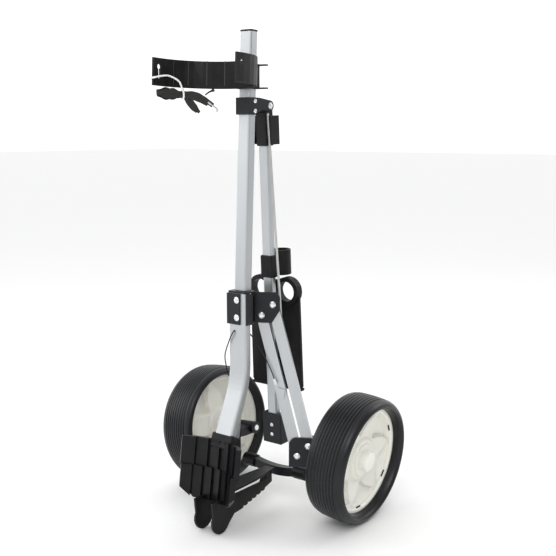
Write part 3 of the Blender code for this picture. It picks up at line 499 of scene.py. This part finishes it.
def make_spread_cord(side, knots):
    """One side of the thin cord, from the main tube to a grey clip on the lower leg."""
    route = smooth_route(knots, 44)
    line = mesh_object(f"spread_cord_line_{side}", tube(route, SPREAD_DIAMETER / 2, 10), CORD)
    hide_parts(f"spread_cord_{side}")
    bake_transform(line)
    end, along = route[-1], (route[-1] - route[-5]).normalized()
    ferrule = [(0.0014, -0.0090), (0.0026, -0.0084), (0.0030, -0.0060), (0.0024, -0.0030), (0.0033, 0.0000),
               (0.0030, 0.0040), (0.0012, 0.0052), (0, 0.0052), (0, -0.0090)]
    piece(f"cord_clip_{side}", turned(ferrule, end, along, 20), CLIP, f"lower_leg_{side}")


def make_cords():
    make_tie_cord()
    front, back = at(-0.0075, -0.1455, 0.3910), at(-0.0075, -0.1285, 0.3910)
    left = [front + INWARD, front + Vector((0, -0.0030, -0.0010)), at(-0.0160, -0.1500, 0.3740),
            at(-0.0340, -0.1440, 0.3400), at(-0.0480, -0.1260, 0.3120), at(-0.0560, -0.1110, 0.2880),
            at(-0.0560, -0.0970, 0.2760), at(-0.0560, -0.0870, 0.2725)]
    right = [back - INWARD, back + Vector((0.0040, 0.0040, -0.0010)), at(0.0120, -0.1200, 0.3830),
             at(0.0280, -0.1080, 0.3530), at(0.0440, -0.0970, 0.3150), at(0.0540, -0.0910, 0.2830)]
    make_spread_cord("left", left)
    make_spread_cord("right", right)


# The bag strap

def band(points, widths, thickness, tilt):
    """Webbing along points, on edge: its width is upright, and tilt leans it over."""
    maker = bmesh.new()
    section = [(-0.5, -0.35), (-0.5, 0.35), (-0.42, 0.5), (0.0, 0.62), (0.42, 0.5), (0.5, 0.35),
               (0.5, -0.35), (0.42, -0.5), (0.0, -0.38), (-0.42, -0.5)]
    rings = []
    for index, spot in enumerate(points):
        along = direction_at(points, index)
        level = Vector((along.y, -along.x, 0)).normalized()
        lean = Matrix.Rotation(math.radians(tilt), 3, along)
        level, upright = lean @ level, lean @ level.cross(along)
        width = widths[index]
        rings.append([maker.verts.new(spot + upright * (width * across) + level * (thickness * out))
                      for across, out in section])
    sleeve(maker, rings)
    return maker


def even_widths(stops, count):
    """Widths at even steps along a band, eased between these stops."""
    widths = []
    for index in range(count):
        spot = index / (count - 1) * (len(stops) - 1)
        low = min(int(spot), len(stops) - 2)
        widths.append(stops[low] + (stops[low + 1] - stops[low]) * smooth_step(0, 1, spot - low))
    return widths


WEBBING_THICKNESS = 0.0016
HOOK_RADIUS = 0.0016
FERRULE_RADIUS = 0.0024


def make_strap():
    """Folds of webbing, gathered where the white cord ties them, with their ends hanging to the right."""
    # each fold: its route, its widths along it, and how it leans in degrees
    folds = [
        ([(-0.0850, -0.1900, 0.8565), (-0.0905, -0.2000, 0.8560), (-0.0950, -0.2150, 0.8560),
          (-0.1010, -0.2400, 0.8565), (-0.1020, -0.2540, 0.8570), (-0.0985, -0.2575, 0.8570),
          (-0.0945, -0.2500, 0.8568), (-0.0930, -0.2300, 0.8560), (-0.0885, -0.2050, 0.8556),
          (-0.0835, -0.1930, 0.8556)],
         (0.010, 0.0110, 0.0170, 0.0245, 0.0150, 0.0080, 0.0170, 0.0225, 0.0120, 0.0100), 4),
        ([(-0.0870, -0.1915, 0.8550), (-0.0900, -0.2030, 0.8550), (-0.0965, -0.2300, 0.8552),
          (-0.0985, -0.2440, 0.8556), (-0.0965, -0.2478, 0.8556), (-0.0950, -0.2400, 0.8554),
          (-0.0915, -0.2150, 0.8550), (-0.0865, -0.1980, 0.8548)],
         (0.010, 0.0115, 0.0210, 0.0150, 0.0070, 0.0170, 0.0150, 0.0110), -6),
        ([(-0.0915, -0.2030, 0.8565), (-0.0880, -0.1960, 0.8562), (-0.0835, -0.1880, 0.8555),
          (-0.0760, -0.1775, 0.8530), (-0.0660, -0.1655, 0.8470), (-0.0570, -0.1555, 0.8385),
          (-0.0535, -0.1515, 0.8345)],
         (0.0110, 0.0110, 0.0150, 0.0155, 0.0120, 0.0100, 0.0090), 10),
        ([(-0.0890, -0.2020, 0.8555), (-0.0865, -0.1950, 0.8550), (-0.0815, -0.1870, 0.8535),
          (-0.0735, -0.1765, 0.8490), (-0.0650, -0.1665, 0.8420), (-0.0590, -0.1600, 0.8365)],
         (0.0110, 0.0110, 0.0135, 0.0125, 0.0100, 0.0080), -14),
        ([(-0.0900, -0.2000, 0.8550), (-0.0872, -0.1930, 0.8520), (-0.0838, -0.1868, 0.8430),
          (-0.0795, -0.1800, 0.8330), (-0.0750, -0.1725, 0.8230)],
         (0.0110, 0.0120, 0.0150, 0.0145, 0.0095), 18),
        ([(-0.0880, -0.1990, 0.8545), (-0.0850, -0.1925, 0.8500), (-0.0815, -0.1855, 0.8400),
          (-0.0765, -0.1780, 0.8300), (-0.0722, -0.1700, 0.8212)],
         (0.0100, 0.0110, 0.0125, 0.0115, 0.0060), -8),
    ]
    makers = []
    for knots, stops, tilt in folds:
        route = smooth_route([at(*knot) for knot in knots], 40)
        makers.append(band(route, even_widths(stops, len(route)), WEBBING_THICKNESS, tilt))
    piece("strap_folds", merge(makers), WEBBING, "frame", ["strap_hank"])
    make_strap_hook()
    make_strap_lead()


def make_strap_hook():
    """The bent metal hook on the end of the strap, with the ferrule that holds it."""
    hook = smooth_route([at(-0.0560, -0.1545, 0.8375), at(-0.0520, -0.1500, 0.8325),
                         at(-0.0490, -0.1465, 0.8290), at(-0.0478, -0.1440, 0.8262),
                         at(-0.0492, -0.1442, 0.8240), at(-0.0508, -0.1462, 0.8250)], 26)
    ferrule = [at(-0.0600, -0.1588, 0.8412), at(-0.0552, -0.1535, 0.8365)]
    makers = [tube(hook, HOOK_RADIUS), tube(ferrule, FERRULE_RADIUS, 16)]
    piece("strap_hook", merge(makers), ROD, "frame")


def make_strap_lead():
    """The lead, which runs up to the underside of the cradle."""
    route = smooth_route([at(-0.0600, -0.1665, 0.8545), at(-0.0560, -0.1600, 0.8600),
                          at(-0.0480, -0.1530, 0.8645)], 16)
    widths = even_widths((0.0026, 0.0030, 0.0060), len(route))
    piece("strap_lead_line", band(route, widths, WEBBING_THICKNESS, 20), WEBBING, "frame",
          ["strap_lead"])


# Wheels

TYRE_RADIUS = 0.1300
RIM_RADIUS = 0.1084
TREAD_HALF = 0.0310
TREAD_DROP = 0.0016  # how much smaller the tread is at its edges than in its middle
RIB_COUNT = 9
RIB_SHARE = 0.62  # the part of a rib's pitch that stands up
RIB_DEPTH = 0.0016
RIB_ROUND = 0.0008
GROOVE_SLOPE = 0.0004
HUB_SIDES = 180


def tread_radius(height):
    return TYRE_RADIUS - TREAD_DROP * abs(height / TREAD_HALF) ** 2.4


def tyre_profile():
    """(radius, distance from the middle), with shallow ribs right round the tread."""
    flank = [(RIM_RADIUS, 0.0232), (0.1096, 0.0320), (0.1112, 0.0385), (0.1135, 0.0420), (0.1165, 0.0438),
             (0.1195, 0.0434), (0.1225, 0.0416), (0.1250, 0.0385), (0.1272, 0.0345)]
    pitch = 2 * TREAD_HALF / RIB_COUNT
    tread = []
    for index in range(RIB_COUNT):
        top = TREAD_HALF - index * pitch
        low = top - RIB_SHARE * pitch
        top_radius, low_radius = tread_radius(top), tread_radius(low)
        groove = low_radius - RIB_DEPTH
        tread += [(top_radius - RIB_ROUND, top), (top_radius, top - RIB_ROUND),
                  (low_radius, low + RIB_ROUND), (groove, low - GROOVE_SLOPE),
                  (groove, top - pitch + GROOVE_SLOPE)]
    return flank + tread + [(radius, -height) for radius, height in reversed(flank)]


def smooth_step(low, high, value):
    """0 below low, 1 above high, and an even curve between them."""
    t = min(max((value - low) / (high - low), 0), 1)
    return t * t * (3 - 2 * t)


POCKET_EDGE = 0.002
POCKET_SIDE = 1.6  # in degrees


def pocket(radius, angle, count, inner, outer, depth, turn):
    """How deep the moulded triangular pockets are at a place of the disc."""
    share = 360 / count
    offset = abs((angle - turn + share / 2) % share - share / 2)
    reach = min(max((radius - inner) / (outer - inner), 0), 1)
    width = 2.5 + (share / 2 - 7.0) * reach
    along = smooth_step(inner - POCKET_EDGE, inner + POCKET_EDGE, radius)
    along *= 1 - smooth_step(outer - POCKET_EDGE, outer + POCKET_EDGE, radius)
    return depth * along * (1 - smooth_step(width - POCKET_SIDE, width + POCKET_SIDE, offset))


def outer_height(radius, angle):
    """The hub's outer face: a lip inside the rim, a shallow cone and a raised middle."""
    height = 0.0228 - 0.0050 * smooth_step(0, 1, (0.1042 - radius) / 0.0040)
    height -= 0.0085 * smooth_step(0, 1, (0.0995 - radius) / 0.0480)
    height += 0.0055 * (1 - smooth_step(0.0400, 0.0475, radius))
    height += 0.0035 * (1 - smooth_step(0.0325, 0.0345, radius))
    return height - pocket(radius, angle, 6, 0.0540, 0.0950, 0.0110, 12)


def inner_height(radius, angle):
    """The hub's inner face, with a tall boss round the axle."""
    height = 0.0244 - 0.0080 * smooth_step(0, 1, (0.1035 - radius) / 0.0035)
    height += 0.0060 * (1 - smooth_step(0.0330, 0.0400, radius))
    height += 0.0200 * (1 - smooth_step(0.0180, 0.0205, radius))
    return height - pocket(radius, angle, 5, 0.0400, 0.0975, 0.0130, 20)


def disc_grid(height_at, sign, place, axis):
    """One moulded face of the hub, as a polar grid with rings where its shape turns."""
    maker = bmesh.new()
    matrix = frame_along(place, axis)
    radii = [RIM_RADIUS, 0.1064]
    radii += [0.1052 - 0.0006 * step for step in range(14)]
    radii += [0.0965 - 0.0014 * step for step in range(44)]
    radii += [0.0345 - 0.0010 * step for step in range(27)]
    radii = [radius for radius in radii if radius > 0.0064]
    rings = []
    for radius in radii:
        ring = []
        for step, spot in enumerate(ring_of(radius, HUB_SIDES, 0)):
            spot.z = sign * height_at(radius, 360 * step / HUB_SIDES)
            ring.append(maker.verts.new(matrix @ spot))
        rings.append(ring)
    rings.insert(0, [maker.verts.new(matrix @ spot) for spot in ring_of(RIM_RADIUS, HUB_SIDES, 0)])
    skin(maker, rings)
    return maker


SLOT_COUNT = 6
SLOT_TURN = 0.21
SLOT_RADIUS = 0.1005
SLOT_HEIGHT = 0.0186
SLOT_SIZE = (0.0150, 0.0024, 0.0030)


def make_wheel(side):
    """A ribbed tyre, a moulded hub with its cap, and black blocks near the hub's rim: painted shade in place
    of its slots.
    """
    joint = JOINTS[f"wheel_{side}_spin"]
    place, axis = Vector(joint["pos_m"]), Vector(joint["axis"]).normalized()
    body = f"wheel_{side}"
    piece(f"tyre_ribbed_{side}", turned(tyre_profile(), place, axis, 144, closed=True), TYRE, body,
          [f"tyre_{side}"])
    faces = merge([disc_grid(outer_height, 1, place, axis), disc_grid(inner_height, -1, place, axis)])
    piece(f"wheel_disc_{side}", faces, HUB, body, [f"wheel_hub_{side}"], angle=50)
    cap = [(0, 0.0335), (0.0150, 0.0333), (0.0195, 0.0322), (0.0215, 0.0295), (0.0222, 0.0180), (0, 0.0180)]
    piece(f"wheel_cap_{side}", turned(cap, place, axis, 64), HUB, body,
          [f"hub_cap_{side}"])
    across = axis.orthogonal().normalized()
    # each slot is a black block on the hub's face, painted shade standing in for an opening
    slots = []
    for step in range(SLOT_COUNT):
        spoke = Matrix.Rotation(2 * math.pi * (step + 0.5) / SLOT_COUNT + SLOT_TURN, 3, axis) @ across
        turn = Matrix((spoke.cross(axis) * -1, spoke, axis)).transposed()
        spot = place + spoke * SLOT_RADIUS + axis * SLOT_HEIGHT
        slots.append(block(SLOT_SIZE, spot, turn, 0.0004))
    piece(f"wheel_slot_shade_{side}", merge(slots), SOFT_PLASTIC, body)


# Small fittings

def rivet(name, place, axis, radius, body):
    """A tubular rivet's rolled head, standing on place along the axis."""
    height = 0.42 * radius
    profile = [(0, 0.35 * height), (0.30 * radius, 0.35 * height), (0.42 * radius, 0.95 * height),
               (0.62 * radius, 1.05 * height), (0.88 * radius, 0.70 * height), (radius, 0.15 * height),
               (radius, -0.0006), (0, -0.0006)]
    piece(name, turned(profile, place, axis, 28), RIVET, body)


def surface_at(node, start, direction):
    """Where a line from start first meets a CAD node, and the node's normal there."""
    solid = NODES[node]
    inverse = solid.matrix_world.inverted()
    local = (inverse.to_3x3() @ Vector(direction)).normalized()
    found, place, normal, _ = solid.ray_cast(inverse @ Vector(start), local)
    if not found:
        raise RuntimeError(f"no surface of {node} there")
    return solid.matrix_world @ place, (solid.matrix_world.to_3x3() @ normal).normalized()


HANDLE_TILT = math.radians(2.9)  # how far the folded handle's tube leans
HANDLE_HINGE = at(0.0005, -0.0600, 0.8350)
FAR_SIDE = 0.06  # to the right of every bracket
FAR_AHEAD = 0.08  # in front of the handle's end bracket


def make_rivets():
    """The small rivets that hold the brackets to the tubes."""
    left = Vector((-1, 0, 0))
    spots = [("cradle_clamp_rivet", "cradle_clamp", at(FAR_SIDE, -0.1130, 0.8860), left, 0.0034, "frame")]
    for index, z in enumerate((0.8430, 0.8240)):
        spots.append((f"hinge_bracket_rivet_{index}", "handle_hinge_bracket", at(FAR_SIDE, -0.1075, z), left,
                      0.0046, "frame"))
    back = Vector((0, math.cos(HANDLE_TILT), math.sin(HANDLE_TILT)))
    down = Vector((0, math.sin(HANDLE_TILT), -math.cos(HANDLE_TILT)))
    for index, drop in enumerate((0.664, 0.685)):
        start = HANDLE_HINGE + down * drop - back * FAR_AHEAD
        spots.append((f"end_bracket_rivet_{index}", "handle_end_bracket", start, back, 0.0044, "handle"))
    for name, node, start, direction, radius, body in spots:
        place, normal = surface_at(node, start, direction)
        rivet(name, place, normal, radius, body)


SEAM_RADIUS = 0.1011
SEAM_SIZE = (0.0011, 0.0008, 0.0470)
CRADLE_LEAN = math.radians(-2.5)


def make_cradle_seams():
    """Upright seams inside the band of the upper cradle."""
    makers = []
    for degrees in (105, 125.5, 146, 163):
        turn = math.radians(degrees)
        out = Vector((math.cos(turn), math.sin(turn), 0))
        place = at(0, -0.2445, 0.8960) + out * SEAM_RADIUS
        axes = Matrix((out.cross(Vector((0, 0, 1))), out, Vector((0, 0, 1)))).transposed()
        makers.append(block(SEAM_SIZE, place, Matrix.Rotation(CRADLE_LEAN, 3, "X") @ axes, 0.0002))
    # the seams are made in the lighter plastic, a painted highlight on them
    piece("cradle_seams", merge(makers), HIGHLIGHT_PLASTIC, "frame")


BEVELLED = ("black_plastic", "black_steel")
# pieces whose bevels get the lighter plastic, a painted highlight on their edges
HIGHLIGHT_EDGED = ("lower_cradle", "upper_cradle", "foot_plate_right", "foot_plate_left", "score_board", "foot_stay")
MATTE = ("score_board", "console_clamp", "umbrella_socket", "upper_cradle")
EDGE_WIDTH = 0.0006
EDGE_ANGLE = math.radians(32)


def round_edges(name, node):
    """Small bevels, which catch the light. On the listed moulded pieces they also get a lighter plastic: a
    painted highlight along the edges.
    """
    weld = node.modifiers.new("weld", "WELD")
    weld.merge_threshold = 0.00001
    bevel = node.modifiers.new("edge", "BEVEL")
    bevel.limit_method = "ANGLE"
    bevel.angle_limit = EDGE_ANGLE
    bevel.width = EDGE_WIDTH
    bevel.segments = 2
    # painted highlight: the bevel faces of these pieces get the lighter plastic
    if name in HIGHLIGHT_EDGED:
        node.data.materials.append(HIGHLIGHT_PLASTIC)
        bevel.material = len(node.data.materials) - 1


def finish_cad_nodes():
    for name, node in NODES.items():
        finish = SOFT_PLASTIC if name in MATTE else FINISHES[SLOT_OF[name]]
        for entry in node.material_slots:
            entry.material = finish
        if SLOT_OF[name] in BEVELLED:
            round_edges(name, node)


make_camera()
make_studio()
make_cords()
make_strap()
finish_cad_nodes()
for side in ("right", "left"):
    make_wheel(side)
make_rivets()
make_cradle_seams()
